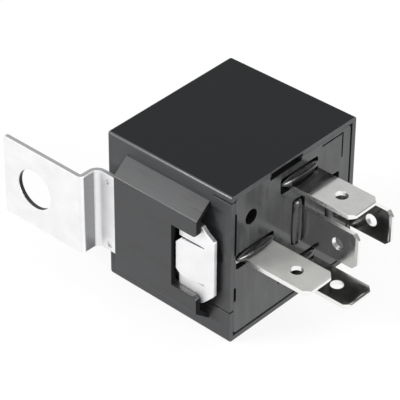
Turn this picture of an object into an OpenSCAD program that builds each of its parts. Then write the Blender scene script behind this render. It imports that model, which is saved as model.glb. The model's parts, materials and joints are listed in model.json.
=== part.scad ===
// Five-blade changeover relay for vehicle wiring, lying on one side.
// Every module is drawn from the centre of the terminal face:
// +X runs out along the blades, -Y is the bracket side, +Z is up.

/* [Housing] */
// Width of the housing, bracket side to far side
body_w = 28.4; // [28:0.1:31]
// Height of the housing as it lies
body_h = 27.2; // [26.6:0.1:30]
// Depth of the housing, terminal rim to closed end
body_d = 25.2; // [24.6:0.1:29]
// Wall of the cover
wall = 0.9; // [0.7:0.05:1.1]
// Thickness of the closed end
end_wall = 1.0; // [0.7:0.05:1.3]
// Radius of the moulded outer edges
edge_r = 0.6; // [0.3:0.05:0.8]
// Lean of the sides and the top over the whole depth, for release from the mould
draft = 0.25; // [0.05:0.05:0.35]
// Gap between the cover and what fits in it
fit = 0.15; // [0.08:0.01:0.2]
// Depth of the base plate
base_t = 4.6; // [4.2:0.1:5.2]
// How far the base face lies inside the rim
base_recess = 0.15; // [0.05:0.05:0.4]
// Diameter of the vent through the base
vent_d = 2.5; // [1.5:0.1:3]

/* [Bracket sleeve] */
// Distance from the rim to the near end of the sleeve
sleeve_setback = 4.2; // [3.6:0.1:5]
// Length of the sleeve
sleeve_len = 16.7; // [14:0.1:18]
// Height of the sleeve over the housing side
sleeve_rise = 2.85; // [2.6:0.05:3.4]
// Height of the flat panel
panel_h = 17.2; // [16.6:0.1:18]
// Height of the sleeve where its ramps meet the housing
sleeve_h = 21.9; // [20.5:0.1:23]
// Thickness of the flat panel
panel_t = 1.0; // [0.8:0.05:1.2]
// Thickness of the ramps, measured up the housing side
ramp_t = 0.9; // [0.7:0.05:1.2]
// Height of the open window
window_h = 11.2; // [10:0.1:12]
// Length of the open window
window_len = 5.0; // [4.6:0.1:6]
// Radius of the panel's free corners beside the window
window_r = 0.8; // [0.3:0.1:1.2]

/* [Mounting bracket] */
// Thickness of the steel strip
strip_t = 0.8; // [0.6:0.05:1]
// Height of the strip
strip_h = 14.3; // [13:0.1:15]
// Inside radius of the fold beside the housing
bend_r = 1.0; // [0.6:0.05:1.2]
// Inside radius of the sharp fold at the mounting plate
plate_fold_r = 0.15; // [0.1:0.05:0.6]
// Offset of the mounting plate from the tongue
bracket_step = 3.45; // [3.2:0.05:5]
// Gap between the web and the closed end of the housing
web_gap = 0.3; // [0.2:0.05:1]
// Length of the mounting plate beyond the web
plate_len = 16.8; // [14:0.1:20]
// Diameter of the mounting hole
bracket_hole_d = 7.0; // [5:0.1:8]
// Distance from the plate end to the middle of the hole
bracket_hole_inset = 6.6; // [5.5:0.1:7]
// Distance from the rim to the end of the tongue
tongue_setback = 2.0; // [1.2:0.1:2.6]
// Height of the spring latch cut from the tongue
latch_h = 6.8; // [5:0.1:8]
// Lift of the latch's free end
latch_lift = 0.55; // [0.3:0.05:0.7]
// Width of the sheared slits beside the latch
latch_slit = 0.15; // [0.1:0.05:0.4]
// Length of the lead-in at the tongue's end
lead_in = 1.2; // [0.8:0.1:1.5]

/* [Terminals] */
// Width of the flat blades
blade_w = 6.3; // [6.3:0.1:6.5]
// Thickness of the blades
blade_t = 0.8; // [0.75:0.01:0.85]
// Reach of the coil and common blades beyond the rim
blade_len = 11.9; // [10:0.1:12.5]
// Reach of the two contact blades beyond the rim
contact_blade_len = 11.0; // [9.5:0.1:12.5]
// Diameter of the hole through each blade
blade_hole_d = 2.1; // [1.5:0.05:2.2]
// Distance from the rim to the hole
blade_hole_x = 7.2; // [6:0.1:7.6]
// Distance between the two coil blades
coil_pitch = 16.8; // [16.4:0.1:17.2]
// Distance from blade 87a to blade 87
pitch_87 = 8.0; // [7.8:0.1:8.2]
// Distance from blade 87a to blade 30
pitch_30 = 9.8; // [9.6:0.1:9.9]
// Offset of the coil blades and 87a from the middle of the face
row_y = 2.2; // [2:0.1:2.4]
// Size of the snipped corners at each blade's tip
blade_snip = 0.9; // [0.8:0.05:1.4]
// Length of the coined taper round each tip
blade_taper = 0.5; // [0.4:0.05:0.9]
// Sideways step of each strip inside its pocket
root_step = 1.75; // [1.6:0.05:2]
// Depth of the flat blade inside its pocket, before the step
root_setback = 1.0; // [0.3:0.1:1.2]
// Extra width of the root on one side of the blade
root_extra = 1.9; // [1.5:0.1:1.95]
// Width of the inner legs
leg_w = 3.6; // [3:0.1:4]

/* [Magnet] */
// Thickness of the yoke
yoke_t = 1.6; // [1.4:0.05:1.8]
// Width of the yoke
yoke_w = 12.0; // [10:0.1:13]
// Diameter of the core
core_d = 6.0; // [5:0.1:6.6]
// Diameter of the pole head
pole_d = 9.2; // [8:0.1:10]
// Thickness of the pole head
pole_t = 1.0; // [0.8:0.05:1.2]
// Wall of the bobbin tube
bobbin_wall = 0.7; // [0.5:0.05:0.9]
// Size of the square bobbin flanges
flange_w = 14.8; // [14:0.1:15.2]
// Thickness of the bobbin flanges
flange_t = 1.0; // [0.7:0.05:1.2]
// Outer diameter of the copper winding
coil_d = 13.2; // [11:0.1:13.8]
// Thickness of the armature
armature_t = 1.4; // [1.2:0.05:1.6]
// Air gap between the armature and the pole at rest
air_gap = 0.5; // [0.48:0.01:0.7]

/* [Contacts] */
// Thickness of the contact spring and the return spring
leaf_t = 0.25; // [0.2:0.01:0.3]
// Width of both leaf springs at their roots
leaf_w = 6.8; // [5.6:0.1:7.4]
// Width of the contact spring's tip
leaf_tip_w = 3.8; // [3.4:0.1:4.6]
// Distance between the rivets of each spring
rivet_pitch = 5.0; // [4.4:0.1:6]
// Length of the return spring's flat on the yoke
return_leaf_len = 10.0; // [9:0.1:11.5]
// Diameter of the contact heads
contact_d = 3.0; // [2.6:0.1:3.2]
// Thickness of the two fixed contacts
fixed_contact_t = 0.5; // [0.4:0.05:0.7]
// Thickness of the moving contact behind the spring
back_head_t = 0.9; // [0.7:0.05:1.1]
// Thickness of the moving contact in front of the spring
front_head_t = 0.55; // [0.4:0.05:0.6]
// Gap between the open contacts at rest
contact_gap = 0.9; // [0.88:0.01:1.05]

/* [Hidden] */
$fn = 48;

cut = 1;                      // how far a cutter runs past a face
snug = 0.05;                  // gap between metal parts that all but touch
lead_d = 0.4;                 // coil lead wire
lead_over_z = flange_w / 2 + 0.5;

// Housing
cavity_y = body_w / 2 - wall;
cavity_z = body_h / 2 - wall;
base_in = -base_t;            // inner face of the base
end_in = -body_d + end_wall;  // inner face of the closed end
side_y = -body_w / 2;         // bracket side of the housing
panel_y = side_y - sleeve_rise;

notch_y = [row_y - 7.6, row_y - 0.6];  // relief where the rim passes the upper coil blade
notch_d = 1.6;

// Bracket
slide_fit = 0.1;
tongue_y = panel_y + panel_t + slide_fit;
rail_h = sleeve_rise - panel_t - strip_t - 2 * slide_fit;
web_x = -body_d - web_gap;
plate_y = tongue_y - bracket_step;
plate_end_x = web_x - plate_len;
window_x = -sleeve_setback - window_len;
latch_x = window_x + 0.35;    // free end of the latch, just inside the window
latch_root_x = -tongue_setback - 1.6;

// Terminals
root_r = (root_step - blade_t) / 2;
pocket_d = root_setback + 2 * root_r + blade_t + 0.1;
leg_back = root_step + blade_t / 2;
leg_87a_y = row_y - leg_back;     // sides of the two inner legs that face away from their blades
leg_87_y = row_y + pitch_87 - leg_back;
y_30 = row_y - pitch_30;

// Stack of the mechanism, from the closed end towards the base
nc_plate_x = end_in + 0.2;
nc_face = nc_plate_x + blade_t + fixed_contact_t;
leaf_x = nc_face + snug + back_head_t;
armature_x = leaf_x + leaf_t;
armature_face = armature_x + armature_t;
pole_face = armature_face + air_gap;
yoke_end = armature_face + snug;
no_face = armature_x + front_head_t + contact_gap;
bobbin_top = pole_face + pole_t;
foot_x = base_in - yoke_t;

// Mechanism across the housing
return_leaf_y = -cavity_y + draft + 0.25;
yoke_out_y = return_leaf_y + leaf_t;
yoke_in_y = yoke_out_y + yoke_t;
coil_y = yoke_in_y + 0.1 + flange_w / 2;
foot_end_y = leg_87a_y - 0.6;
stake_d = core_d * 0.6;
armature_end_y = coil_y + pole_d / 2 + 1.5;
contact_y = leg_87_y + blade_t + contact_d / 2 - 0.2;
nc_riser_y = cavity_y - 0.6;
nc_band = [leg_w / 2 + 0.8, leg_w / 2 + 3.8];
tail_w = yoke_w - 4.2;
rivet_d = 1.4;
rivet_head_d = 2.4;
rivet_head_t = 0.4;
return_rivet_mid = yoke_end + return_leaf_len * 0.6;
return_rivet_x = [return_rivet_mid - rivet_pitch / 2, return_rivet_mid + rivet_pitch / 2];
leaf_rivet_y = [coil_y - rivet_pitch / 2, coil_y + rivet_pitch / 2];

// ---- Helpers ----

// From the centre of the terminal face to the middle of the resting face
module in_place() {
    translate([body_d / 2, 0, body_h / 2]) children();
}

// A flat outline in Y and Z, run along X
module along_x(x0, x1) {
    translate([x0, 0, 0]) rotate([90, 0, 90]) linear_extrude(x1 - x0) children();
}

// A flat outline in X and Z, run along Y
module along_y(y0, y1) {
    translate([0, y1, 0]) rotate([90, 0, 0]) linear_extrude(y1 - y0) children();
}

// A flat outline in X and Y, run along Z
module along_z(z0, z1) {
    translate([0, 0, z0]) linear_extrude(z1 - z0) children();
}

// A block given by its two corners
module block(low, high) {
    translate(low) cube(high - low);
}

module rounded_rect(w, h, r) {
    square([w - 2 * r, h], center = true);
    square([w, h - 2 * r], center = true);
    for (sx = [-1, 1], sy = [-1, 1])
        translate([sx * (w / 2 - r), sy * (h / 2 - r)]) circle(r);
}

// A quarter of a ring between the outline's own +X and +Y axes
module quarter_ring(r_in, r_out) {
    intersection() {
        difference() {
            circle(r_out);
            circle(r_in);
        }
        square(r_out);
    }
}

// A rod along X
module rod_x(x0, x1, d) {
    translate([x0, 0, 0]) rotate([0, 90, 0]) cylinder(d = d, h = x1 - x0);
}

// Round wire through a list of points
module wire(points, d) {
    for (i = [0 : len(points) - 2]) {
        run = points[i + 1] - points[i];
        translate(points[i])
            rotate([0, acos(run[2] / norm(run)), atan2(run[1], run[0])])
                cylinder(d = d, h = norm(run));
    }
    for (i = [1 : len(points) - 2])
        translate(points[i]) sphere(d = d);
}

// ---- Housing ----

// A ball whose facets reach the full radius along all three axes
module round_corner(r) {
    step = 360 / 32;
    rotate_extrude($fn = 32) polygon([for (a = [-90 : step : 90]) r * [cos(a), sin(a)]]);
}

// Closed end and sides of the cover; the sides and the top lean in towards the closed end
module cover_outside() {
    past = 1;
    difference() {
        hull() for (side = [-1, 1], up = [-1, 1], end = [0, 1]) {
            x = end == 1 ? -body_d + edge_r : past;
            lean = -draft * x / body_d;
            y = body_w / 2 - edge_r - lean;
            z = body_h / 2 - edge_r - (up > 0 ? lean : 0);
            translate([x, side * y, up * z]) round_corner(edge_r);
        }
        block([0, -body_w, -body_h], [past + 2 * edge_r, body_w, body_h]);
    }
}

module cover_cavity() {
    lean = draft;
    intersection() {
        along_z(-body_h, body_h) polygon([
            [cut, -cavity_y], [0, -cavity_y], [end_in, -cavity_y + lean],
            [end_in, cavity_y - lean], [0, cavity_y], [cut, cavity_y]
        ]);
        along_y(-body_w, body_w) polygon([
            [cut, -cavity_z], [end_in, -cavity_z], [end_in, cavity_z - lean],
            [0, cavity_z], [cut, cavity_z]
        ]);
    }
}

// Sleeve section: a flat panel between two ramps
module sleeve_section(rise, face_h, root_h, embed) {
    polygon([
        [side_y + embed, -root_h / 2], [side_y, -root_h / 2],
        [side_y - rise, -face_h / 2], [side_y - rise, face_h / 2],
        [side_y, root_h / 2], [side_y + embed, root_h / 2]
    ]);
}

// The window runs out at the near end, where the panel's free corners are rounded
module window_outline(near) {
    translate([window_x, -window_h / 2]) square([cut - window_x, window_h]);
    for (side = [-1, 1]) difference() {
        translate([near - window_r, side > 0 ? window_h / 2 : -window_h / 2 - window_r])
            square([window_r + cut, window_r]);
        translate([near - window_r, side * (window_h / 2 + window_r)]) circle(window_r);
    }
}

module sleeve() {
    near = -sleeve_setback;
    far = near - sleeve_len;
    slope = (sleeve_h - panel_h) / sleeve_rise;
    channel_rise = sleeve_rise - panel_t;
    channel_root = sleeve_h - 2 * ramp_t;
    difference() {
        along_x(far, near) sleeve_section(sleeve_rise, panel_h, sleeve_h, wall / 2);
        along_x(far - cut, near + cut)
            sleeve_section(channel_rise, channel_root - slope * channel_rise, channel_root, 0);
        along_y(panel_y - cut, panel_y + panel_t + slide_fit) window_outline(near);
    }
    // Rails that press the tongue against the panel
    for (side = [-1, 1])
        translate([0, 0, side * (latch_h / 2 + 1.6)])
            block([far, side_y - rail_h, -0.5], [near, side_y + wall / 2, 0.5]);
}

module cover() {
    slit_len = 3.6;
    slit_w = 0.25;
    color("#2b2c2e") in_place() difference() {
        union() {
            cover_outside();
            sleeve();
        }
        cover_cavity();
        // Slits that let the rim spring over the base
        for (z = [-7.9, cavity_z - 0.3])
            block([-slit_len, side_y - cut, z - slit_w / 2], [cut, side_y + wall + cut, z + slit_w / 2]);
        // Relief in the upper rim over the coil blade
        block([-notch_d, notch_y[0], cavity_z - cut], [cut, notch_y[1], cavity_z + wall / 2]);
    }
}

module blade_pocket() {
    low_y = -blade_w / 2 - root_extra - fit;
    high_y = blade_w / 2 + fit;
    low_z = -blade_t / 2 - fit;
    high_z = root_step + blade_t / 2 + fit;
    along_x(-pocket_d, cut)
        translate([(low_y + high_y) / 2, (low_z + high_z) / 2])
            rounded_rect(high_y - low_y, high_z - low_z, 0.5);
    block([-base_t - cut, -leg_w / 2 - snug, root_step - blade_t / 2 - snug],
          [-pocket_d + cut, leg_w / 2 + snug, root_step + blade_t / 2 + snug]);
}

// Places a strip: flat for the coil and common blades, on edge for the contact blades
module at_blade(y, z, on_edge) {
    translate([0, y, z])
        rotate([on_edge ? 90 : 0, 0, 0])
            mirror([0, on_edge ? 1 : 0, 0]) children();
}

module all_blade_places() {
    at_blade(y_30, 0, false) children();
    at_blade(row_y, -coil_pitch / 2, false) children();
    at_blade(row_y, coil_pitch / 2, false) children();
    at_blade(row_y, 0, true) children();
    at_blade(row_y + pitch_87, 0, true) children();
}

module base() {
    edge_y = cavity_y - fit;
    edge_z = cavity_z - fit;
    groove = 0.3;
    field = [row_y + 9.2, edge_z - 0.5];
    color("#3a3b3d") in_place() difference() {
        along_x(base_in, -base_recess) rounded_rect(2 * edge_y, 2 * edge_z, 0.8);
        all_blade_places() blade_pocket();
        // Vent
        translate([0, -edge_y + 3.6, 7.6]) rod_x(base_in - cut, cut, vent_d);
        // Upper edge cut back under the relief in the rim
        block([-notch_d, notch_y[0], edge_z - 0.7], [cut, notch_y[1], edge_z + cut]);
        // Corner groove of the raised field
        block([-base_recess - groove, field[0] - 5, field[1] - groove], [cut, field[0], field[1]]);
        block([-base_recess - groove, field[0] - groove, field[1] - 4.6], [cut, field[0], field[1]]);
        // Prising slot and the wide stretch of seam on the bracket side
        block([-notch_d, -edge_y - cut, -6.4], [cut, -edge_y + 0.5, -3.9]);
        block([-notch_d, -edge_y - cut, 1.2], [cut, -edge_y + 0.4, 9.8]);
    }
}

// ---- Mounting bracket ----

// Edge view of the bent strip, in X and Y
module bracket_edge() {
    near_bend = [web_x + bend_r, tongue_y - bend_r];
    far_bend = [web_x - strip_t - plate_fold_r, plate_y + strip_t + plate_fold_r];
    dip = 0.3;
    polygon([
        [near_bend[0], tongue_y], [-tongue_setback - lead_in, tongue_y], [-tongue_setback, tongue_y + dip],
        [-tongue_setback, tongue_y + dip + strip_t], [-tongue_setback - lead_in, tongue_y + strip_t],
        [near_bend[0], tongue_y + strip_t]
    ]);
    translate(near_bend) rotate(90) quarter_ring(bend_r, bend_r + strip_t);
    translate([web_x - strip_t, far_bend[1]]) square([strip_t, near_bend[1] - far_bend[1]]);
    translate(far_bend) rotate(-90) quarter_ring(plate_fold_r, plate_fold_r + strip_t);
    translate([plate_end_x, plate_y]) square([far_bend[0] - plate_end_x, strip_t]);
}

// Face view of the whole strip, in X and Z, with a snipped tongue end
module bracket_face() {
    corner = 0.5;
    snip = 2.1;
    half = strip_h / 2;
    difference() {
        union() {
            translate([plate_end_x + strip_h / 2, 0]) rounded_rect(strip_h, strip_h, corner);
            polygon([
                [plate_end_x + half, -half], [-tongue_setback - snip, -half],
                [-tongue_setback, -half + snip], [-tongue_setback, half - snip],
                [-tongue_setback - snip, half], [plate_end_x + half, half]
            ]);
        }
        // Opening round the latch, wider behind its free end
        translate([latch_x, -latch_h / 2 - latch_slit])
            square([latch_root_x - latch_x, latch_h + 2 * latch_slit]);
        translate([latch_x - 1.3, -window_h / 2 - 0.3]) square([1.5, window_h + 0.6]);
    }
}

module bracket_latch() {
    bevel = 0.9;
    half = latch_h / 2;
    intersection() {
        along_z(-half, half) polygon([
            [latch_root_x, tongue_y], [latch_root_x, tongue_y + strip_t],
            [latch_x, tongue_y + strip_t - latch_lift], [latch_x, tongue_y - latch_lift]
        ]);
        along_y(plate_y, side_y) polygon([
            [latch_root_x, -half], [latch_root_x, half], [latch_x + bevel, half],
            [latch_x, half - bevel], [latch_x, -half + bevel], [latch_x + bevel, -half]
        ]);
    }
}

module mounting_bracket() {
    hole_x = plate_end_x + bracket_hole_inset;
    color("#e8e9ea") in_place() {
        difference() {
            intersection() {
                along_z(-strip_h / 2, strip_h / 2) bracket_edge();
                along_y(plate_y - cut, side_y + cut) bracket_face();
            }
            translate([hole_x, plate_y - cut, 0])
                rotate([-90, 0, 0]) cylinder(d = bracket_hole_d, h = strip_t + 2 * cut);
            // Two small punch marks beside the sleeve's mouth
            for (side = [-1, 1])
                translate([-sleeve_setback - sleeve_len - 2.1, tongue_y - cut, side * 5.9])
                    rotate([-90, 0, 0]) cylinder(d = 1.1, h = cut + strip_t / 4);
        }
        bracket_latch();
    }
}

// ---- Terminals ----

// Edge view of a strip, in X and Z: blade, S-shaped root, inner leg
module strip_edge(reach, leg_end) {
    half = blade_t / 2;
    bend_x = -root_setback - 2 * root_r - blade_t;
    polygon([[-root_setback, -half], [reach, -half], [reach, half], [-root_setback, half]]);
    translate([-root_setback, half + root_r]) rotate(180) quarter_ring(root_r, root_r + blade_t);
    translate([bend_x, half + root_r]) quarter_ring(root_r, root_r + blade_t);
    polygon([
        [leg_end, root_step - half], [bend_x, root_step - half], [bend_x, leg_back], [leg_end, leg_back]
    ]);
}

// Face view of a strip, in X and Y
module strip_face(reach, leg_end) {
    half = blade_w / 2;
    polygon([
        [-root_setback, -half], [reach - blade_snip, -half], [reach, -half + blade_snip],
        [reach, half - blade_snip], [reach - blade_snip, half], [-root_setback, half]
    ]);
    translate([-pocket_d, -half - root_extra])
        square([pocket_d - root_setback, blade_w + root_extra]);
    translate([leg_end, -leg_w / 2]) square([-leg_end - root_setback, leg_w]);
}

// Section across one side of the coined tip, in X and Z; it leaves all behind the tip alone
module tip_section(reach) {
    half = blade_t / 2;
    nose = blade_t / 3;
    back = reach - 2 * blade_taper;
    wide = 2 * half - nose;
    far = body_d * 2;
    polygon([
        [-far, -far], [back, -far], [back, -wide], [reach, -nose],
        [reach, nose], [back, wide], [back, far], [-far, far]
    ]);
}

module terminal_strip(reach, leg_end) {
    snip_reach = (reach + blade_w / 2 - blade_snip) / sqrt(2);
    difference() {
        intersection() {
            along_y(-blade_w, blade_w) strip_edge(reach, leg_end);
            along_z(-blade_t, leg_back + blade_t) strip_face(reach, leg_end);
            along_y(-blade_w, blade_w) tip_section(reach);
            for (turn = [-45, 45])
                rotate([0, 0, turn]) along_y(-2 * body_d, 2 * body_d) tip_section(snip_reach);
        }
        translate([blade_hole_x, 0, -blade_t]) cylinder(d = blade_hole_d, h = 2 * blade_t);
    }
}

module terminal_30() {
    color("#b9bcbf") in_place() at_blade(y_30, 0, false) terminal_strip(blade_len, foot_x);
}

module terminal_85() {
    color("#b9bcbf") in_place()
        at_blade(row_y, -coil_pitch / 2, false) terminal_strip(blade_len, base_in - 1.4);
}

module terminal_86() {
    color("#b9bcbf") in_place()
        at_blade(row_y, coil_pitch / 2, false) terminal_strip(blade_len, base_in - 1.4);
}

module terminal_87() {
    pad_x = no_face + fixed_contact_t;
    color("#b9bcbf") in_place() {
        at_blade(row_y + pitch_87, 0, true) terminal_strip(contact_blade_len, pad_x);
        block([pad_x, leg_87_y, -leg_w / 2],
              [pad_x + blade_t, contact_y + contact_d / 2 + 0.3, leg_w / 2]);
    }
}

// Runs along the base, up the far wall and back over the moving contact
module terminal_87a() {
    run_x = base_in - blade_t;
    inner_y = leg_87a_y;
    outer_y = nc_riser_y;
    color("#b9bcbf") in_place() {
        at_blade(row_y, 0, true) terminal_strip(contact_blade_len, run_x);
        along_x(run_x, base_in) polygon([
            [inner_y, -leg_w / 2], [inner_y + leg_w, -leg_w / 2], [inner_y + leg_w, nc_band[0]],
            [outer_y, nc_band[0]], [outer_y, nc_band[1]], [inner_y, nc_band[1]]
        ]);
        block([nc_plate_x, outer_y - blade_t, nc_band[0]], [base_in, outer_y, nc_band[1]]);
        along_x(nc_plate_x, nc_plate_x + blade_t) polygon([
            [contact_y - leg_w / 2, -leg_w / 2], [contact_y + leg_w / 2, -leg_w / 2],
            [outer_y, nc_band[0]], [outer_y, nc_band[1]], [contact_y - leg_w / 2, nc_band[1]]
        ]);
    }
}

// ---- Magnet ----

module yoke() {
    ear_reach = 0.9;
    color("#a9adb0") in_place() difference() {
        union() {
            block([foot_x, yoke_out_y, -yoke_w / 2], [base_in, foot_end_y, yoke_w / 2]);
            block([yoke_end, yoke_out_y, -yoke_w / 2], [base_in, yoke_in_y, yoke_w / 2]);
            // Ears that guide the armature's tail
            for (side = [-1, 1])
                translate([0, 0, side * (yoke_w / 2 - 0.9)])
                    block([yoke_end - ear_reach, yoke_out_y, -0.9], [yoke_end, yoke_in_y, 0.9]);
        }
        // Seat of the core's stake
        translate([0, coil_y, 0]) rod_x(foot_x - cut, base_in + cut, stake_d);
        // Slot for the leg of terminal 30
        block([foot_x - cut, y_30 - leg_w / 2, root_step - blade_t / 2],
              [base_in + cut, y_30 + leg_w / 2, root_step + blade_t / 2]);
        // Holes for the return spring's rivets
        for (x = return_rivet_x)
            translate([x, 0, 0]) rotate([90, 0, 0]) cylinder(d = rivet_d, h = body_w);
    }
}

module core() {
    color("#b4b7ba") in_place() translate([0, coil_y, 0]) {
        rod_x(pole_face, bobbin_top, pole_d);
        rod_x(bobbin_top, foot_x, core_d);
        rod_x(foot_x, base_in, stake_d);
    }
}

module bobbin() {
    color("#d8d2c0") in_place() translate([0, coil_y, 0]) difference() {
        union() {
            rod_x(bobbin_top, foot_x, core_d + 2 * bobbin_wall);
            along_x(bobbin_top, bobbin_top + flange_t) rounded_rect(flange_w, flange_w, 1.2);
            along_x(foot_x - flange_t, foot_x) rounded_rect(flange_w, flange_w, 1.2);
        }
        rod_x(bobbin_top - cut, foot_x + cut, core_d + 2 * snug);
    }
}

module coil() {
    color("#a8562a") in_place() translate([0, coil_y, 0]) difference() {
        rod_x(bobbin_top + flange_t, foot_x - flange_t, coil_d);
        rod_x(bobbin_top, foot_x, core_d + 2 * bobbin_wall);
    }
}

// From the leg of a coil blade, over the flange's edge, down to the winding
module coil_lead(leg_z, over_z) {
    start_x = base_in - 0.9;
    wind_x = foot_x - flange_t - 1.3;
    lead_y = row_y - 1.0;
    wind_z = sign(over_z) * (sqrt(pow(coil_d / 2, 2) - pow(lead_y - coil_y, 2)) + lead_d / 2);
    color("#b5622f") in_place() wire([
        [start_x, lead_y, leg_z], [start_x, lead_y, over_z],
        [wind_x, lead_y, over_z], [wind_x, lead_y, wind_z]
    ], lead_d);
}

module coil_lead_85() {
    leg_z = -coil_pitch / 2 + root_step - blade_t / 2;
    coil_lead(leg_z, min(-lead_over_z, leg_z - 2 * lead_d));
}

module coil_lead_86() {
    leg_z = coil_pitch / 2 + root_step - blade_t / 2;
    coil_lead(leg_z, min(lead_over_z, leg_z - 2 * lead_d));
}

// ---- Moving armature ----

module armature() {
    half = (yoke_w - 1) / 2;
    color("#9fa3a6") in_place() difference() {
        along_x(armature_x, armature_face) polygon([
            [yoke_out_y, -tail_w / 2], [yoke_in_y + 0.3, -tail_w / 2], [yoke_in_y + 0.3, -half],
            [armature_end_y, -half], [armature_end_y, half], [yoke_in_y + 0.3, half],
            [yoke_in_y + 0.3, tail_w / 2], [yoke_out_y, tail_w / 2]
        ]);
        for (y = leaf_rivet_y)
            translate([0, y, 0]) rod_x(armature_x - cut, armature_face + cut, rivet_d);
    }
}

module contact_spring() {
    root_y = leaf_rivet_y[0] - rivet_head_d;
    neck_y = (armature_end_y + contact_y) / 2;
    tip_y = contact_y + contact_d / 2;
    color("#c08a4a") in_place() difference() {
        along_x(leaf_x, armature_x) polygon([
            [root_y, -leaf_w / 2], [armature_end_y, -leaf_w / 2], [neck_y, -leaf_tip_w / 2],
            [tip_y, -leaf_tip_w / 2], [tip_y, leaf_tip_w / 2], [neck_y, leaf_tip_w / 2],
            [armature_end_y, leaf_w / 2], [root_y, leaf_w / 2]
        ]);
        for (y = leaf_rivet_y)
            translate([0, y, 0]) rod_x(leaf_x - cut, armature_x + cut, rivet_d);
        translate([0, contact_y, 0]) rod_x(leaf_x - cut, armature_x + cut, rivet_d);
    }
}

module spring_rivets() {
    color("#c9c2b4") in_place() for (y = leaf_rivet_y) translate([0, y, 0]) {
        rod_x(leaf_x - rivet_head_t, leaf_x, rivet_head_d);
        rod_x(leaf_x, armature_face, rivet_d);
    }
}

module moving_contact() {
    color("#dcdad2") in_place() translate([0, contact_y, 0]) {
        rod_x(leaf_x - back_head_t, leaf_x, contact_d);
        rod_x(leaf_x, armature_x, rivet_d);
        rod_x(armature_x, armature_x + front_head_t, contact_d);
    }
}

module contact_no() {
    color("#dcdad2") in_place() translate([0, contact_y, 0])
        rod_x(no_face, no_face + fixed_contact_t, contact_d);
}

module contact_nc() {
    color("#dcdad2") in_place() translate([0, contact_y, 0])
        rod_x(nc_face - fixed_contact_t, nc_face, contact_d);
}

// Leaf on the back of the yoke; its bent end bears on the armature's tail
module return_spring() {
    tip_x = armature_x - 2 * snug - leaf_t;
    half = leaf_w / 2 - 1;
    color("#c08a4a") in_place() difference() {
        union() {
            block([tip_x, return_leaf_y, -half], [yoke_end + return_leaf_len, yoke_out_y, half]);
            block([tip_x, return_leaf_y, -half], [tip_x + leaf_t, yoke_in_y - 0.1, half]);
        }
        for (x = return_rivet_x)
            translate([x, 0, 0]) rotate([90, 0, 0]) cylinder(d = rivet_d, h = body_w);
    }
}

module return_spring_rivets() {
    head_t = 0.2;
    color("#c9c2b4") in_place() for (x = return_rivet_x) translate([x, return_leaf_y - head_t, 0])
        rotate([-90, 0, 0]) {
            cylinder(d = rivet_head_d, h = head_t);
            cylinder(d = rivet_d, h = yoke_in_y - return_leaf_y + head_t);
        }
}

cover();
base();
mounting_bracket();
terminal_30();
terminal_85();
terminal_86();
terminal_87();
terminal_87a();
yoke();
core();
bobbin();
coil();
coil_lead_85();
coil_lead_86();
armature();
contact_spring();
spring_rivets();
moving_contact();
contact_no();
contact_nc();
return_spring();
return_spring_rivets();
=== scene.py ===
# %% [markdown]
# # A changeover relay for vehicle wiring
# The relay is a black moulded can with five flat blades at one end and a folded steel bracket on
# one side. Its solids come ready made and at their real size. What is left to do here is what the
# eye reads as quality: edges that catch light, plastic that looks moulded, and metal that looks
# rolled, punched and plated.
#
# The solids are loaded first. Nothing below moves or resizes them.

# %% Load the solids
import json
import math

import bmesh
import bpy
from mathutils import Matrix, Vector
from mathutils.geometry import intersect_point_line


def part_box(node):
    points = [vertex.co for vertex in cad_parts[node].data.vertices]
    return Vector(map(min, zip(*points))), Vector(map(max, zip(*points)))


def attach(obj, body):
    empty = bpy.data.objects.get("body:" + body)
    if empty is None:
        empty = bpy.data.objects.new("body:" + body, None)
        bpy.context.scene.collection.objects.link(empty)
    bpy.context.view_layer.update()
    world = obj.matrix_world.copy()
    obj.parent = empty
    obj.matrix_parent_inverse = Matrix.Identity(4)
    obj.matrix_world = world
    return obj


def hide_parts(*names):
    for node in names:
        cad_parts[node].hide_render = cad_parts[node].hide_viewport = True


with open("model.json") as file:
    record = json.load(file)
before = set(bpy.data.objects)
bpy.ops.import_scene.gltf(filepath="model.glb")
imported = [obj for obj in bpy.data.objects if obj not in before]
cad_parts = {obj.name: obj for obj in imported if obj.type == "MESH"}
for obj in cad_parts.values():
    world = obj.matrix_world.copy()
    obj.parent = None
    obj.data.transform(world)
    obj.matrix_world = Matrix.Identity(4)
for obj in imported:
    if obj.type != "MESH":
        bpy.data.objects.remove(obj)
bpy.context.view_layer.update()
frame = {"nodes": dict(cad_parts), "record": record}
MM = 0.001
cover_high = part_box("cover")[1] / MM
can_height = cover_high.z
print("loaded", len(frame["nodes"]), "solids; the can is", round(can_height, 1), "mm high")

# %% [markdown]
# ## Camera
# A small product is usually shot from well back with a long lens, so that its edges stay nearly
# parallel. The camera stands about 36 cm away, above and to the side of the terminal face, so
# that one picture shows the blades, the sleeve and the bracket. A slight roll finishes the
# framing.
#
# Two small helpers come first, because the lamps need them too: one puts a thing in the scene,
# and the other points it at a target.

# %% Camera
CAMERA_PLACE = (188.03, -215.82, 225.18)
CAMERA_TARGET = (-3.18, -3.44, 13.03)
CAMERA_ROLL = math.radians(0.456)
LENS, SENSOR = 208.7, 36.0


def put(name, data):
    thing = bpy.data.objects.new(name, data)
    bpy.context.collection.objects.link(thing)
    return thing


def aim(thing, place_mm, target_mm, roll=0.0):
    thing.location = Vector(place_mm) * MM
    look = Vector(target_mm) - Vector(place_mm)
    turn = look.to_track_quat("-Z", "Y").to_matrix() @ Matrix.Rotation(roll, 3, "Z")
    thing.rotation_euler = turn.to_euler()


camera = put("camera", bpy.data.cameras.new("camera"))
camera.data.sensor_width = SENSOR
camera.data.lens = LENS
camera.data.clip_start = 10 * MM
aim(camera, CAMERA_PLACE, CAMERA_TARGET, CAMERA_ROLL)
bpy.context.scene.camera = camera
print("camera distance", round(camera.location.length, 3), "m")

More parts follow.
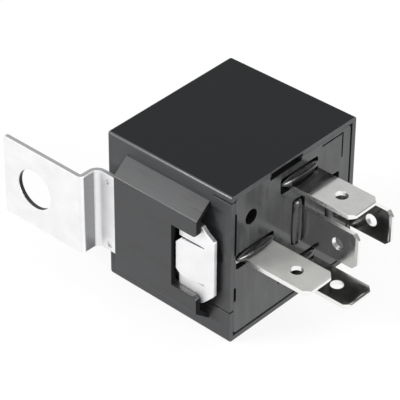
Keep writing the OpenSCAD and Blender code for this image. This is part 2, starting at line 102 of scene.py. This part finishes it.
# %% [markdown]
# ## Colours and nodes
# Colours are chosen as hex values, the way a paint or screen colour is given, and turned to the
# linear light that the renderer adds up. One helper adds a shader node, sets its values and makes
# its links, so that a material can be read as a short recipe.

# %% Colour and node helpers
def linear(hex_colour):
    parts = [int(hex_colour[i:i + 2], 16) / 255 for i in (1, 3, 5)]
    light = [c / 12.92 if c <= 0.04045 else ((c + 0.055) / 1.055) ** 2.4 for c in parts]
    return (*light, 1.0)


def add(tree, kind, links=None, values=None, **settings):
    made = tree.nodes.new(kind)
    for name, value in settings.items():
        setattr(made, name, value)
    for socket, value in (values or {}).items():
        made.inputs[socket].default_value = value
    for socket, source in (links or {}).items():
        tree.links.new(source, made.inputs[socket])
    return made


print("mid grey #808080 is", round(linear("#808080")[0], 3), "in linear light")

# %% [markdown]
# ## Background
# The relay stands in a white studio. One bright world could do it, but its light would wash out
# the black plastic. So two strengths are used. Rays that look at the world, straight or by way of
# a mirror or glass, see plain white. The light that reaches the part from all round is softer.

# %% World
FILL = 0.42


def looked_at(tree):
    """Gives 1 on rays from the camera, a mirror or glass, and 0 on rays that gather light."""
    rays = add(tree, "ShaderNodeLightPath")
    sight = rays.outputs["Is Camera Ray"]
    for kind in ("Is Glossy Ray", "Is Transmission Ray"):
        sight = add(tree, "ShaderNodeMath", {0: sight, 1: rays.outputs[kind]},
                    operation="MAXIMUM").outputs[0]
    return sight


world = bpy.data.worlds.new("studio")
bpy.context.scene.world = world
world.use_nodes = True
tree = world.node_tree
tree.nodes.clear()
seen = looked_at(tree)
fill = add(tree, "ShaderNodeBackground", values={"Color": linear("#FFFFFF"), "Strength": FILL})
white = add(tree, "ShaderNodeBackground", values={"Color": linear("#FFFFFF"), "Strength": 1.0})
mix = add(tree, "ShaderNodeMixShader", {0: seen, 1: fill.outputs[0], 2: white.outputs[0]})
add(tree, "ShaderNodeOutputWorld", {"Surface": mix.outputs[0]})
print("fill light", FILL)

# %% [markdown]
# ## Floor
# A real paper sweep under strong light is nearly white and still takes a soft shadow. The floor
# does both. The paper itself is a matt grey, which keeps the light that it throws up under the
# part low, and most of its whiteness is added for the rays that look at it, so the shadow stays
# pale.

# %% Floor
FLOOR_HALF = 3000 * MM
FLOOR_GLOW = 0.86


def sheet(name, half, skin):
    """Makes one flat square, for what only stands in the studio."""
    mesh = bpy.data.meshes.new(name)
    corners = [(x * half, y * half, 0) for x, y in ((-1, -1), (1, -1), (1, 1), (-1, 1))]
    mesh.from_pydata(corners, [], [(0, 1, 2, 3)])
    mesh.materials.append(skin)
    return put(name, mesh)


paper = bpy.data.materials.new("matt_paper_sweep")
paper.use_nodes = True
tree = paper.node_tree
tree.nodes.clear()
seen = looked_at(tree)
matte = add(tree, "ShaderNodeBsdfDiffuse", values={"Color": linear("#6A6A6A")})
glow = add(tree, "ShaderNodeEmission", values={"Color": linear("#FFFFFF"), "Strength": FLOOR_GLOW})
lit = add(tree, "ShaderNodeAddShader", {0: matte.outputs[0], 1: glow.outputs[0]})
pick = add(tree, "ShaderNodeMixShader", {0: seen, 1: matte.outputs[0], 2: lit.outputs[0]})
add(tree, "ShaderNodeOutputMaterial", {"Surface": pick.outputs[0]})
floor = sheet("floor", FLOOR_HALF, paper)
print("floor", 2 * FLOOR_HALF, "m across")

# %% [markdown]
# ## Lamps
# The tall box stands where the rounded edges of the lid mirror it towards the camera, so the
# edges show as thin pale lines. A low box lights the terminal face, and a weak one behind keeps
# the far sides from going black. Boxes that stand low light the upright faces more than the lid,
# and that difference is what makes a black cube read as three greys.
#
# Each strength is given as the light that arrives at the part. The helper works out the lamp's
# power from it and from the distance, so a box can be moved without growing dim.

# %% Lamps
def soft_box(name, place_mm, size_mm, strength):
    lamp = bpy.data.lights.new(name, "AREA")
    lamp.shape = "RECTANGLE"
    lamp.size, lamp.size_y = size_mm[0] * MM, size_mm[1] * MM
    lamp.energy = strength * 4 * math.pi * (Vector(place_mm).length * MM) ** 2
    aim(put(name, lamp), place_mm, (0, 0, can_height / 2))
    print(name, "gives", round(lamp.energy, 2), "W")


soft_box("edge_box", (-455, -635, 410), (360, 360), 0.62)
soft_box("terminal_side_box", (690, -20, 150), (520, 260), 0.85)
soft_box("back_box", (260, 620, 420), (400, 300), 0.25)

# %% [markdown]
# ## A black flag
# Shiny metal has no look of its own: it shows the room. In a product studio a black card stands
# where a mirror-like part would otherwise show nothing but white, and the part's edges and
# hollows turn dark and crisp. This card is seen by reflections alone, so it takes no light from
# the part.

# %% Black flag
FLAG_HALF = 360 * MM
FLAG_PLACE = (340, 350, 330)
felt = bpy.data.materials.new("black_felt")
felt.use_nodes = True
felt.node_tree.nodes.clear()
dark = add(felt.node_tree, "ShaderNodeBsdfDiffuse", values={"Color": linear("#101010")})
add(felt.node_tree, "ShaderNodeOutputMaterial", {"Surface": dark.outputs[0]})
flag = sheet("black_flag", FLAG_HALF, felt)
aim(flag, FLAG_PLACE, (0, 0, 0))
flag.visible_camera = flag.visible_diffuse = flag.visible_shadow = False
print("flag", round(2 * FLAG_HALF, 2), "m across")

# %% [markdown]
# ## Finishes
# Every surface here is one shader with its own skin on top: pits, rolling lines or cloudy
# patches. Painted textures could give these too, but they would need flattened surfaces and image
# files. A noise that is worked out in the material fits any shape.
#
# So a skin is a list of layers. Each layer is a noise with a real size in millimetres, drawn out
# along the way the surface was made, and says what it changes: the height of the surface in
# millimetres, its roughness, or how light it is. Pits and rolling lines are really a few
# hundredths of a millimetre wide and would vanish in a picture of the whole part, so they are
# drawn several times as coarse as they are. The helper below turns such a list into nodes.

# %% Finish helper
NOISE_LOW, NOISE_HIGH = 0.3, 0.7
PLAIN_DETAIL = 2.0


def finish(name, colour, rough, metal=0.0, ior=1.5, specular=0.5, layers=()):
    made = bpy.data.materials.new(name)
    made.use_nodes = True
    tree = made.node_tree
    tree.nodes.clear()
    values = {"Base Color": linear(colour), "Roughness": rough, "Metallic": metal,
              "IOR": ior, "Specular IOR Level": specular}
    skin = add(tree, "ShaderNodeBsdfPrincipled", values=values)
    add(tree, "ShaderNodeOutputMaterial", {"Surface": skin.outputs[0]})
    here = add(tree, "ShaderNodeTexCoord").outputs["Object"]
    changed = {}
    for layer in layers:
        stretch = layer.get("stretch", (1, 1, 1))
        scale = [1 / (layer["size"] * along * MM) for along in stretch]
        spread = add(tree, "ShaderNodeMapping", {"Vector": here}, {"Scale": scale})
        noise = add(tree, "ShaderNodeTexNoise", {"Vector": spread.outputs[0]},
                    {"Scale": 1.0, "Detail": layer.get("detail", PLAIN_DETAIL)}).outputs[0]
        if "height" in layer:
            under = {"Normal": changed["height"]} if "height" in changed else {}
            changed["height"] = add(tree, "ShaderNodeBump", {"Height": noise, **under},
                                    {"Strength": 1.0, "Distance": layer["height"] * MM}).outputs[0]
        for part, middle, join in (("rough", rough, "ADD"), ("tone", 1.0, "MULTIPLY")):
            if part not in layer:
                continue
            if join == "ADD" and part in changed:
                middle = 0.0
            swing = add(tree, "ShaderNodeMapRange", {"Value": noise},
                        {"From Min": NOISE_LOW, "From Max": NOISE_HIGH,
                         "To Min": middle - layer[part],
                         "To Max": middle + layer[part]}).outputs[0]
            if part in changed:
                swing = add(tree, "ShaderNodeMath", {0: changed[part], 1: swing},
                            operation=join).outputs[0]
            changed[part] = swing
    if "height" in changed:
        tree.links.new(changed["height"], skin.inputs["Normal"])
    if "rough" in changed:
        tree.links.new(changed["rough"], skin.inputs["Roughness"])
    if "tone" in changed:
        tinted = add(tree, "ShaderNodeVectorMath", {"Scale": changed["tone"]},
                     {0: linear(colour)[:3]}, operation="SCALE")
        tree.links.new(tinted.outputs[0], skin.inputs["Base Color"])
    print(name, "has", len(layers), "layers")
    return made


# %% [markdown]
# ## Moulded plastics
# The cover is PBT moulded in a steel tool. The tool's end block, which shapes the lid, is spark
# eroded, so the lid comes out matt and pitted; its darker colour with next to no shine is painted
# shade that keeps it darker than the sides. The sides slide out of the tool along the can, and
# that leaves a smoother skin with faint drag marks. Hollows and openings take a near-black colour
# that is painted shade, so they look deep.
#
# The base is nylon filled with short glass fibre. It leaves a polished tool with a fair shine,
# and it is cloudy where the fibres lie near the surface. The resin that seals the blades is
# poured and cures with a wet gloss.

# %% Plastics
# Pits of a spark-eroded tool, in a darker colour with next to no reflection: painted shade that
# keeps the lid darker than the sides.
lid_shade_skin = finish(
    "spark_eroded_pbt_with_painted_shade", "#242526", 0.62, ior=1.57, specular=0.06,
    layers=[{"size": 0.30, "height": 0.006}, {"size": 7.0, "tone": 0.04, "rough": 0.03}])
# Painted shade: a dull, nearly black colour on the walls of hollows and openings, so they look
# deep.
painted_shade_skin = finish(
    "painted_shade_black_pbt", "#111112", 0.7, ior=1.57, specular=0.1,
    layers=[{"size": 0.30, "height": 0.008}, {"size": 2.0, "tone": 0.1}])
# Drawn along the tool: a satin dark grey with faint lines that run towards the blades.
side_skin = finish(
    "moulded_black_pbt", "#2F3032", 0.40, ior=1.57,
    layers=[{"size": 0.30, "height": 0.003},
            {"size": 0.6, "stretch": (14, 1, 1), "rough": 0.10, "tone": 0.18},
            {"size": 4.0, "stretch": (2, 1, 1), "rough": 0.10, "tone": 0.25}])
# Fibre under a polished skin: it mirrors the room a little and looks cloudy in upright streaks.
base_skin = finish(
    "glass_filled_nylon", "#2B2C2D", 0.2, ior=1.66,
    layers=[{"size": 0.25, "height": 0.003},
            {"size": 0.9, "stretch": (1, 1, 7), "rough": 0.06, "tone": 0.25},
            {"size": 4.5, "stretch": (1, 1, 1.6), "rough": 0.10, "tone": 0.4, "detail": 1.0}])
# Cured wet: the body is black, and a crisp, slightly wavy shine tells the eye that it is round.
resin = finish(
    "black_sealing_resin", "#101011", 0.24, ior=1.8,
    layers=[{"size": 0.6, "stretch": (1, 10, 1), "height": 0.012},
            {"size": 1.2, "rough": 0.04, "tone": 0.10}])

# %% [markdown]
# ## Plated metals
# The bracket is low-carbon steel strip, blanked, folded and then zinc plated. The blades are
# brass strip with a bright tin coat, and the common blade has a matt one. Rolling draws every
# fine line out along the strip, so the layers on the faces are stretched that way.

# %% Plated metals
ROLLED_X = (60, 1, 1)
# Thick plating over a rolled face: bright, even and too rough to mirror anything.
zinc_face = finish(
    "bright_zinc_plate", "#EEEEEF", 0.48, metal=1.0,
    layers=[{"size": 0.16, "stretch": ROLLED_X, "height": 0.0008, "rough": 0.03},
            {"size": 2.5, "rough": 0.03, "tone": 0.02}])
# Torn steel under the plating: a clear grey line along each cut edge. The web between the folds
# takes this grey too, as painted shade.
edge_and_web_zinc = finish(
    "sheared_zinc_edge_and_web_shade", "#A8A8AA", 0.5, metal=1.0,
    layers=[{"size": 0.12, "stretch": (1, 6, 1), "height": 0.004, "rough": 0.08}])
# Painted shade: the wall of the hole takes a dark zinc, so it draws a dark crescent.
hole_shade_zinc = finish(
    "painted_shade_in_hole", "#4A4A4C", 0.5, metal=1.0,
    layers=[{"size": 0.12, "stretch": (1, 6, 1), "height": 0.006, "rough": 0.08}])
# Nearly a mirror: a blade shows the black housing at its root and the white room at its tip.
tin_face = finish(
    "bright_tin_plate", "#BDBDBB", 0.12, metal=1.0,
    layers=[{"size": 0.14, "stretch": ROLLED_X, "height": 0.0006, "rough": 0.02},
            {"size": 1.8, "rough": 0.04, "tone": 0.05}])
# The cut rim faces the room and stays white all round the blade.
tin_edge = finish(
    "sheared_tin_edge", "#F4F4F2", 0.28, metal=1.0,
    layers=[{"size": 0.10, "stretch": (1, 1, 4), "height": 0.002, "rough": 0.05}])
# Matt tin evens out what it mirrors: one calm grey from root to tip.
matt_tin = finish(
    "matt_tin_plate", "#C2C2C0", 0.95, metal=1.0,
    layers=[{"size": 0.14, "stretch": ROLLED_X, "height": 0.001, "rough": 0.04},
            {"size": 1.5, "rough": 0.05, "tone": 0.05}])

# %% [markdown]
# ## Metals inside the can
# Nobody sees the mechanism until the can is opened, but it is built, so it is finished too. The
# yoke, core and armature are soft iron with a thin nickel coat. The two leaf springs are phosphor
# bronze, rolled hard and left bare. The rivets are turned brass, the contacts are a silver alloy,
# and the bobbin is nylon without any dye.

# %% Inner metals and the bobbin's nylon
# Thin dull nickel: a cool grey with soft highlights.
iron = finish(
    "nickel_on_soft_iron", "#9FA09F", 0.38, metal=1.0,
    layers=[{"size": 0.18, "stretch": (40, 1, 1), "height": 0.001, "rough": 0.05},
            {"size": 2.0, "rough": 0.06, "tone": 0.08}])
# Bare and hard rolled: a warm brown gold with fine lines along the leaf.
bronze = finish(
    "rolled_phosphor_bronze", "#C48C4E", 0.3, metal=1.0,
    layers=[{"size": 0.10, "stretch": (1, 50, 1), "height": 0.0008, "rough": 0.05},
            {"size": 1.6, "rough": 0.05, "tone": 0.08}])
# Turned and pressed: paler than the bronze, so the heads stand out on the leaf.
rivet_brass = finish(
    "turned_brass", "#C9BE9C", 0.3, metal=1.0,
    layers=[{"size": 0.15, "height": 0.001, "rough": 0.06}, {"size": 0.9, "tone": 0.06}])
# Frosted a little where it sparks: a soft white metal.
silver = finish(
    "silver_contact_alloy", "#DCDAD2", 0.34, metal=1.0,
    layers=[{"size": 0.12, "height": 0.002, "rough": 0.08}, {"size": 0.6, "tone": 0.10}])
# Without dye: a waxy ivory that sets off the copper.
nylon = finish(
    "natural_nylon", "#D9D2BE", 0.5, ior=1.53,
    layers=[{"size": 0.3, "height": 0.003, "rough": 0.04}, {"size": 3.0, "tone": 0.04}])

# %% [markdown]
# ## Enamelled copper
# Winding wire is copper under a clear coat of amber enamel, so it looks like a darker, redder
# metal with a hard gloss. A darker copper colour alone would look dusty. The coat is a real one
# here: the shader's own coat layer over the metal.

# %% Enamelled copper
copper = finish(
    "enamelled_copper", "#A9562B", 0.32, metal=1.0,
    layers=[{"size": 0.2, "stretch": (1, 8, 8), "rough": 0.05, "tone": 0.06},
            {"size": 2.2, "tone": 0.10}])
coat = next(n for n in copper.node_tree.nodes if n.type == "BSDF_PRINCIPLED")
coat.inputs["Coat Weight"].default_value = 0.6
coat.inputs["Coat Roughness"].default_value = 0.12
coat.inputs["Coat Tint"].default_value = linear("#E8B27C")
print("the enamel coat is", coat.inputs["Coat Weight"].default_value)

# %% [markdown]
# ## Where each piece belongs
# A piece that is made here has to move with the body it sits on, which is read from the part's own
# record.

# %% Bodies
bodies = frame["record"]["behaviour"]["bodies"]
body_of = {node: body for body, nodes in bodies.items() for node in nodes}

# %% [markdown]
# ## Edges with room for a radius
# No real edge is perfectly sharp. Moulded corners come out with a small radius, and tumbling
# after the press takes the bite off blanked strip. A bevel of a tenth of a millimetre is enough
# to draw a line of light along each edge.
#
# A bevel needs room, though. On a narrow land or a short edge its two sides would cross each
# other and leave stray faces. So an edge is dropped here when another edge of its own face runs
# too close in front of it, or when the edges it ends at are too short. All distances are in bevel
# widths. Dropping one edge can make room for another, so the corners are visited in the order of
# their numbers: the order of a Python set changes from run to run, and the part must not.

# %% Room for a radius
SPOTS = 8
TOUCHING = 0.001
ROOM_AHEAD, AHEAD = 2.4, 0.7
ROOM_ASIDE, ROOM_ALONG = 1.6, 2.6
STRAIGHT_ON = math.radians(140)


def crowded(face, width):
    """Yields the edges of a face that have another edge too close in front of them."""
    for loop in face.loops:
        start, end = loop.vert.co, loop.link_loop_next.vert.co
        run = end - start
        inward = face.normal.cross(run).normalized()
        samples = [start + run * (k + 0.5) / SPOTS for k in range(SPOTS)]
        for other in face.edges:
            if other is loop.edge:
                continue
            for spot in samples:
                near, part = intersect_point_line(spot, other.verts[0].co, other.verts[1].co)
                if not 0 <= part <= 1:
                    near = other.verts[0 if part < 0 else 1].co
                gap = near - spot
                close = TOUCHING < gap.length < ROOM_AHEAD * width
                if close and gap.dot(inward) > AHEAD * gap.length:
                    yield loop.edge
                    break


def room_for(bevelled, width):
    """Drops the edges that have too little room to hold a bevel."""
    for face in {f for edge in bevelled for f in edge.link_faces}:
        bevelled.difference_update(set(crowded(face, width)))
    cramped = True
    while cramped:
        cramped = False
        ends = {v for edge in bevelled for v in edge.verts}
        for vert in sorted(ends, key=lambda v: v.index):
            mine = [e for e in vert.link_edges if e in bevelled]
            others = [e for e in vert.link_edges if e not in bevelled]
            runs_on = False
            if len(mine) == 2:
                ways = [(e.other_vert(vert).co - vert.co).normalized() for e in mine]
                runs_on = ways[0].angle(ways[1], 0) > STRAIGHT_ON
            tight = any(e.calc_length() < ROOM_ASIDE * width for e in others)
            if not runs_on:
                tight = tight or any(e.calc_length() < ROOM_ALONG * width for e in mine)
            if mine and tight:
                bevelled.difference_update(mine)
                cramped = True
    return bevelled


print("a bevel needs", ROOM_AHEAD, "times its own width in front of its edge")

# %% [markdown]
# ## Softened copies
# A bevel modifier on the solid would be shorter, but the lines that cut its flat faces into
# triangles would get in its way. So each solid is copied, its flat faces are joined up again, and
# only its sharp outer edges are bevelled. The copy stands in for the solid and cuts only inwards,
# so the part keeps its size.

# %% Softened copies
WELD, WELD_AFTER = 0.001, 0.0001
FLAT = math.radians(0.8)
SHARP = math.radians(28)
CREASE = math.radians(40)
BEVEL = {"offset_type": "OFFSET", "segments": 2, "profile": 0.6, "affect": "EDGES",
         "clamp_overlap": False}


def softened(node, width, skins, choose=None, edge_skin=-1):
    """Copies a solid in millimetres, rounds its edges and gives each face one of the skins."""
    work = bmesh.new()
    work.from_mesh(frame["nodes"][node].data)
    work.transform(Matrix.Scale(1 / MM, 4))
    bmesh.ops.remove_doubles(work, verts=work.verts, dist=WELD)
    bmesh.ops.dissolve_limit(work, angle_limit=FLAT, verts=work.verts, edges=work.edges)
    work.verts.index_update()
    for face in work.faces:
        face.material_index = choose(face) if choose else 0
    sharp = {e for e in work.edges if e.is_convex and e.calc_face_angle(0) >= SHARP}
    sharp = room_for(sharp, width)
    bmesh.ops.bevel(work, geom=list(sharp), offset=width, material=edge_skin, **BEVEL)
    bmesh.ops.remove_doubles(work, verts=work.verts, dist=WELD_AFTER)
    for face in work.faces:
        face.smooth = True
    for edge in work.edges:
        edge.smooth = edge.calc_face_angle(0) < CREASE
    work.transform(Matrix.Scale(MM, 4))
    mesh = bpy.data.meshes.new(node + "_soft")
    work.to_mesh(mesh)
    work.free()
    for skin in skins:
        mesh.materials.append(skin)
    print(node, "has", len(sharp), "softened edges and", len(mesh.polygons), "faces")
    piece = put(node + "_soft", mesh)
    piece.modifiers.new("even_shading", "WEIGHTED_NORMAL").keep_sharp = True
    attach(piece, body_of[node])
    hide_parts(node)


# %% [markdown]
# ## The can and its base
# The lid takes the matt skin, whose darker colour is painted shade. The end walls of the sleeve
# and its window take the near-black skin, which is painted shade, and so do the insides of the
# base's openings. Everything else on the cover takes the smoother one, so the line between them
# falls on the rounded edge, as it does where two blocks of a mould meet.
#
# Painting faces by hand would do as well, but a rule still holds when a size changes. Each rule
# below looks at where a face lies and which way it faces, and gives the place of its skin in the
# list.

# %% Cover and base
MOULD_RADIUS = 0.12
LID_FACES, LID_DEPTH = 0.95, 0.6
END_FACES, RIM_START = 0.9, 11.0
OPENING_INSET = 0.5
base_low, base_high = (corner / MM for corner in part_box("base"))


def cover_skin_and_shade(face):
    centre = face.calc_center_median()
    # The lid's faces take the darker, duller skin: painted shade.
    if face.normal.z > LID_FACES and centre.z > can_height - LID_DEPTH:
        return 1
    # The end walls of the sleeve and its window take the near-black skin: painted shade.
    return 2 if face.normal.x > END_FACES and centre.x < RIM_START else 0


def in_opening(face):
    centre = face.calc_center_median()
    inside = [base_low[k] + OPENING_INSET < centre[k] < base_high[k] - OPENING_INSET
              for k in range(3)]
    # Faces inside the base's openings take the near-black skin: painted shade.
    return int(all(inside))


softened("cover", MOULD_RADIUS, [side_skin, lid_shade_skin, painted_shade_skin], cover_skin_and_shade)
softened("base", MOULD_RADIUS, [base_skin, painted_shade_skin], in_opening)

# %% [markdown]
# ## The bracket
# Strip has rolled faces and sheared edges, and they never look alike. The rule below tells them
# apart: the strip's edges face up or down, and the plate's end faces along it. The web between the
# two folds takes the edges' darker grey as painted shade, and the wall of the hole a darker grey
# still, as painted shade in the hole.

# %% Bracket
STRIP_RADIUS = 0.15
FOLDS_END = -11.3
PLATE_FOLD = -15
PLATE_INSET = 0.6
STRIP_FACES, STRIP_EDGES = 0.3, 0.5
bracket_low, bracket_high = (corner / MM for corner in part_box("mounting_bracket"))


def sheared_and_shaded_bracket(face):
    centre = face.calc_center_median()
    upright = abs(face.normal.z)
    if abs(face.normal.y) > STRIP_FACES and upright < STRIP_EDGES:
        return 0
    outside = (centre.z < bracket_low.z + PLATE_INSET or centre.z > bracket_high.z - PLATE_INSET
               or centre.x < bracket_low.x + PLATE_INSET)
    # The wall of the hole takes the dark zinc: painted shade.
    if centre.x < PLATE_FOLD and not outside:
        return 2
    # Edges take the grey, and so does the web between the folds, as painted shade.
    return 1 if upright > STRIP_EDGES or centre.x < FOLDS_END else 0


softened("mounting_bracket", STRIP_RADIUS, [zinc_face, edge_and_web_zinc, hole_shade_zinc], sheared_and_shaded_bracket, 0)

# %% [markdown]
# ## The blades
# The coil blades and the common blade lie flat, and the two contact blades stand on edge. The
# same rule serves both once it knows which way the strip faces. Beyond the base, the snipped
# corners and the tip are sheared too.

# %% Blades
BLADE_RADIUS = 0.07
BLADE_CLEAR = 2
BLADE_EDGES, BLADE_FACES = 0.5, 0.3


def sheared_blade(flat):
    def choose(face):
        across, through = face.normal.y, face.normal.z
        if not flat:
            across, through = through, across
        outside = face.calc_center_median().x > cover_high.x + BLADE_CLEAR
        return int(abs(across) > BLADE_EDGES or (abs(through) < BLADE_FACES and outside))
    return choose


for node, flat, skin in (("terminal_30", True, matt_tin), ("terminal_85", True, tin_face),
                         ("terminal_86", True, tin_face), ("terminal_87", False, tin_face),
                         ("terminal_87a", False, tin_face)):
    softened(node, BLADE_RADIUS, [skin, tin_edge], sheared_blade(flat))

# %% [markdown]
# ## Sealing beads
# Each blade leaves the base through a pocket, where the strip steps sideways in a double fold.
# The last job on the line is to close that mouth with resin. On the flat blades it stands proud
# in a fat rounded bar that pulls in at its ends, and its shine says more about the shape than its
# colour does. On the upright blades there is less of it, and it fills the pocket from end to end
# as a lower bar with blunt ends.
#
# A stretched ball would do for the flat blades but not for the upright ones, and a box with
# round edges would look moulded. So a bar is a grid of rings whose size follows an oval from end
# to end, joined to a point at each. A fullness of 2 is a stretched ball, and more gives blunter
# ends.

# %% Shape of a bead
BEAD_RINGS, BEAD_AROUND = 40, 28


def bead(name, start, end, long_way, fullness):
    """Makes one bar of resin between two corners, in millimetres, lying along Y (1) or Z (2)."""
    middle, half = (start + end) / 2, (end - start) / 2
    side_way = 3 - long_way
    shape = bmesh.new()
    rings = []
    for ring in range(1, BEAD_RINGS):
        along = -math.cos(math.pi * ring / BEAD_RINGS)
        size = (1 - abs(along) ** fullness) ** (1 / fullness)
        loop = []
        for k in range(BEAD_AROUND):
            turn = 2 * math.pi * k / BEAD_AROUND
            spot = middle.copy()
            spot.x += half.x * size * math.cos(turn)
            spot[long_way] += half[long_way] * along
            spot[side_way] += half[side_way] * size * math.sin(turn)
            loop.append(shape.verts.new(spot))
        rings.append(loop)
    for one, two in zip(rings, rings[1:]):
        for k in range(BEAD_AROUND):
            after = (k + 1) % BEAD_AROUND
            shape.faces.new((one[k], one[after], two[after], two[k]))
    for ring, way in ((rings[0], -1), (rings[-1], 1)):
        point = middle.copy()
        point[long_way] += half[long_way] * way
        tip = shape.verts.new(point)
        for k in range(BEAD_AROUND):
            shape.faces.new((ring[k], ring[(k + 1) % BEAD_AROUND], tip))
    bmesh.ops.recalc_face_normals(shape, faces=shape.faces)
    for face in shape.faces:
        face.smooth = True
    shape.transform(Matrix.Scale(MM, 4))
    mesh = bpy.data.meshes.new(name)
    shape.to_mesh(mesh)
    shape.free()
    mesh.materials.append(resin)
    piece = put(name, mesh)
    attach(piece, "housing")
    print(name, "is", [round(2 * h, 2) for h in half], "mm")


print("a bead has", BEAD_RINGS * BEAD_AROUND, "faces")

# %% [markdown]
# ## Beads on the flat blades
# Each bead starts inside the pocket's mouth and ends just proud of the base. Sideways it covers
# the wide root of its blade, and it rises from the blade's upper face.

# %% Beads on the flat blades
STRIP_THICKNESS = 0.8
FLAT_FULLNESS = 2.1
FLAT_BACK, FLAT_PROUD = 1.1, 0.95
FLAT_NEAR_SIDE, FLAT_FAR_SIDE = 0.05, 0.1
FLAT_SUNK, FLAT_RISE = 0.1, 1.85

for terminal in ("terminal_30", "terminal_85", "terminal_86"):
    low, high = (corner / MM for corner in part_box(terminal))
    face_up = low.z + STRIP_THICKNESS
    start = Vector((base_high.x - FLAT_BACK, low.y - FLAT_NEAR_SIDE, face_up - FLAT_SUNK))
    end = Vector((base_high.x + FLAT_PROUD, high.y + FLAT_FAR_SIDE, face_up + FLAT_RISE))
    bead("bead_" + terminal[-2:], start, end, 1, FLAT_FULLNESS)

# %% [markdown]
# ## Beads on the upright blades
# These lie beside the strip, on the side it steps away from. The pocket is as tall as the root of
# blade 87, and the root of 87a is the same height there.

# %% Beads on the upright blades
UPRIGHT_FULLNESS = 4.0
UPRIGHT_REACH = 0.7
UPRIGHT_SIDE, UPRIGHT_WIDTH = 0.15, 2.05
UPRIGHT_END = 0.1
root_low, root_high = (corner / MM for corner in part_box("terminal_87"))

for terminal in ("terminal_87a", "terminal_87"):
    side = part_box(terminal)[0].y / MM - UPRIGHT_SIDE
    start = Vector((base_high.x - UPRIGHT_REACH, side, root_low.z - UPRIGHT_END))
    end = Vector((base_high.x + UPRIGHT_REACH, side + UPRIGHT_WIDTH, root_high.z + UPRIGHT_END))
    bead("bead_" + terminal[9:], start, end, 2, UPRIGHT_FULLNESS)

# %% [markdown]
# ## The mechanism
# The inner parts get the same treatment with radii to suit them: wide on the iron, which is
# blanked from thick plate, and narrow on the springs, which are a quarter of a millimetre thick.

# %% Mechanism
for node, width, skin in (("yoke", 0.15, iron), ("core", 0.12, iron), ("armature", 0.12, iron),
                          ("bobbin", 0.12, nylon), ("contact_spring", 0.05, bronze),
                          ("return_spring", 0.05, bronze), ("spring_rivets", 0.08, rivet_brass),
                          ("return_spring_rivets", 0.08, rivet_brass),
                          ("moving_contact", 0.08, silver), ("contact_no", 0.08, silver),
                          ("contact_nc", 0.08, silver)):
    softened(node, width, [skin])

# %% [markdown]
# ## The winding's section
# The coil is hundreds of turns of wire hardly thicker than a hair. Turns that fine would blur
# into a plain drum, so they are drawn about twice as coarse as they are. A bump in the material
# could draw them too, but it would leave the drum's outline straight.
#
# So the winding is turned from one long profile, in which each turn has a half-round back. Its
# length and its two radii are measured on the solid coil, so it fills the same space.

# %% Section of the winding
TURN = 0.26
ROUND_STEPS = 5
coil_low, coil_high = (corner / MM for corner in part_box("coil"))
middle = (coil_low + coil_high) / 2
outer = (coil_high.y - coil_low.y) / 2
inner = min(math.hypot(v.co.y / MM - middle.y, v.co.z / MM - middle.z)
            for v in frame["nodes"]["coil"].data.vertices)
turns = round((coil_high.x - coil_low.x) / TURN)
pitch = (coil_high.x - coil_low.x) / turns
profile = [(coil_low.x, inner)]
for turn in range(turns):
    for step in range(ROUND_STEPS + 1):
        if turn and not step:
            continue
        swing = math.pi * step / ROUND_STEPS
        profile.append((coil_low.x + pitch * (turn + 0.5 - math.cos(swing) / 2),
                        outer - pitch / 2 * (1 - math.sin(swing))))
profile.append((coil_high.x, inner))
print("the winding has", turns, "turns at", round(pitch, 3), "mm")

# %% [markdown]
# ## The winding's surface
# The profile is copied round the coil's axis, and neighbouring copies are joined by faces. The
# grooves stay sharp and the backs of the turns are shaded smooth.

# %% Surface of the winding
AROUND = 72
GROOVE = math.radians(60)
points, faces = [], []
for spoke in range(AROUND):
    angle = 2 * math.pi * spoke / AROUND
    points += [(x * MM, (middle.y + r * math.cos(angle)) * MM,
                (middle.z + r * math.sin(angle)) * MM) for x, r in profile]
rows = len(profile)
for spoke in range(AROUND):
    here, there = spoke * rows, (spoke + 1) % AROUND * rows
    for row in range(rows):
        after = (row + 1) % rows
        faces.append((here + row, there + row, there + after, here + after))
wound_mesh = bpy.data.meshes.new("winding")
wound_mesh.from_pydata(points, [], faces)
work = bmesh.new()
work.from_mesh(wound_mesh)
bmesh.ops.recalc_face_normals(work, faces=work.faces)
for face in work.faces:
    face.smooth = True
for edge in work.edges:
    edge.smooth = edge.calc_face_angle(0) < GROOVE
work.to_mesh(wound_mesh)
work.free()
wound_mesh.materials.append(copper)
winding = put("winding", wound_mesh)
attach(winding, "housing")
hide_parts("coil")
print("the winding has", len(faces), "faces")

# %% [markdown]
# ## The winding's ends
# The two ends of the wire run to the coil blades. Their solids are already round and smooth, so
# they only take the copper finish.

# %% Coil leads
for node in ("coil_lead_85", "coil_lead_86"):
    wire = frame["nodes"][node].data
    wire.materials.clear()
    wire.materials.append(copper)
    print(node, "is finished in", wire.materials[0].name)

# %% [markdown]
# ## View transform
# The picture is shown with a plain view transform, so a colour comes out about as it was written.

# %% View transform
bpy.context.scene.view_settings.view_transform = "Standard"
